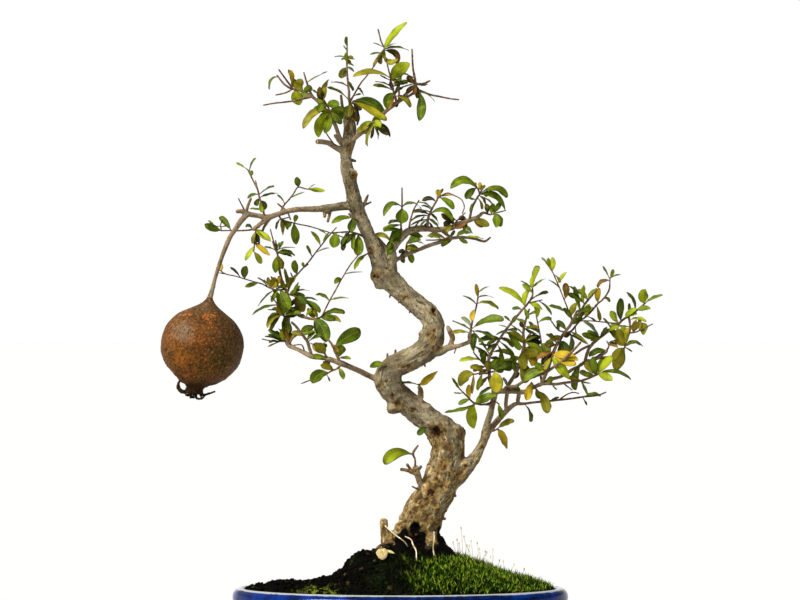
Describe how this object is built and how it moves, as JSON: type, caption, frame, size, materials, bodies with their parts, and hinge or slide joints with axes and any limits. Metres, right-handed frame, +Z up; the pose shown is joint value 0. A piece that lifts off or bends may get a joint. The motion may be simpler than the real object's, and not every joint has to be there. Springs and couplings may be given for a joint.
{
  "type": "pomegranate bonsai",
  "caption": "Pomegranate bonsai in a low oval glazed pot: zigzag trunk, sparse leafy limbs and a ripe fruit hanging from a long arching stalk.",
  "frame": {"origin": "on the surface the pot stands on, under the middle of the whole part's width and depth", "axes": "+Z up, -Y towards the viewer in front, +X to the viewer's right; the fruit hangs at -X"},
  "size_m": [0.5022, 0.2492, 0.628],
  "materials": {
    "glaze": "glossy cobalt blue glaze, worn pale grey along the lip",
    "soil": "damp dark potting soil, crumbly",
    "moss": "soft cushion moss with fine stalks",
    "bark": "flaking grey-tan bark, ochre brown low on the trunk, dark reddish twigs",
    "rind": "leathery russet-orange rind, mottled grey-brown with fine speckle",
    "fallen_leaf": "dry pale yellow leaf",
    "leaf_green": "thin green leaves on dark reddish-brown twigs, satin",
    "leaf_bright": "thin bright green leaves on dark reddish-brown twigs, satin",
    "leaf_olive": "thin olive leaves on dark reddish-brown twigs, satin",
    "leaf_yellow": "thin yellow leaves on dark reddish-brown twigs, satin",
    "leaf_dark": "thin dark green leaves on dark reddish-brown twigs, satin",
    "leaf_russet": "thin russet leaves on dark reddish-brown twigs, satin",
    "leaf_withered": "thin withered black leaves on dark reddish-brown twigs, satin"
  },
  "bodies": {
    "root": {"pot": "glaze", "soil": "soil", "moss": "moss", "trunk": "bark", "fruit": "rind", "fallen_leaf": "fallen_leaf", "spray_fruit_left": "leaf_dark", "spray_fruit_mid": "leaf_green", "spray_fruit_under": "leaf_green", "spray_fruit_right": "leaf_green", "spray_fruit_hanging": "leaf_bright", "spray_left_outer": "leaf_dark", "spray_left_inner_low": "leaf_olive", "spray_left_dark_twig": "leaf_green", "spray_left_tip": "leaf_green", "spray_left_yellow": "leaf_green", "spray_left_inner": "leaf_green", "spray_left_stem": "leaf_dark", "spray_left_thin_twig": "leaf_green", "spray_left_stick": "leaf_green", "spray_left_broad": "leaf_green", "spray_left_olive": "leaf_olive", "spray_left_hanging": "leaf_olive", "spray_elbow_left": "leaf_green", "spray_elbow_yellow": "leaf_yellow", "spray_trunk_low": "leaf_dark", "spray_paddle": "leaf_bright", "spray_high_arch": "leaf_green", "spray_high_left": "leaf_green", "spray_high_low": "leaf_bright", "spray_upper_fan": "leaf_dark", "spray_upper_base": "leaf_dark", "spray_upper_bud": "leaf_dark", "spray_upper_withered": "leaf_withered", "spray_upper_tip": "leaf_green", "spray_upper_low_tip": "leaf_green", "spray_upper_low_base": "leaf_dark", "spray_crown_left": "leaf_green", "spray_crown_spur": "leaf_green", "spray_crown_top": "leaf_dark", "spray_crown_arch": "leaf_olive", "spray_crown_mid": "leaf_yellow", "spray_crown_right": "leaf_olive", "spray_crown_right_tip": "leaf_russet", "spray_crown_right_low": "leaf_dark", "spray_crown_lower": "leaf_bright", "spray_mid_right": "leaf_yellow", "spray_right_tall": "leaf_green", "spray_right_front_low": "leaf_green", "spray_right_fork": "leaf_olive", "spray_right_red": "leaf_green", "spray_right_back": "leaf_green", "spray_right_front": "leaf_yellow", "spray_right_pale": "leaf_green", "spray_right_level": "leaf_bright", "spray_right_long": "leaf_dark", "spray_right_outer": "leaf_bright", "spray_right_hanging": "leaf_bright", "spray_right_dead": "leaf_green", "spray_right_high": "leaf_bright"}
  },
  "joints": []
}
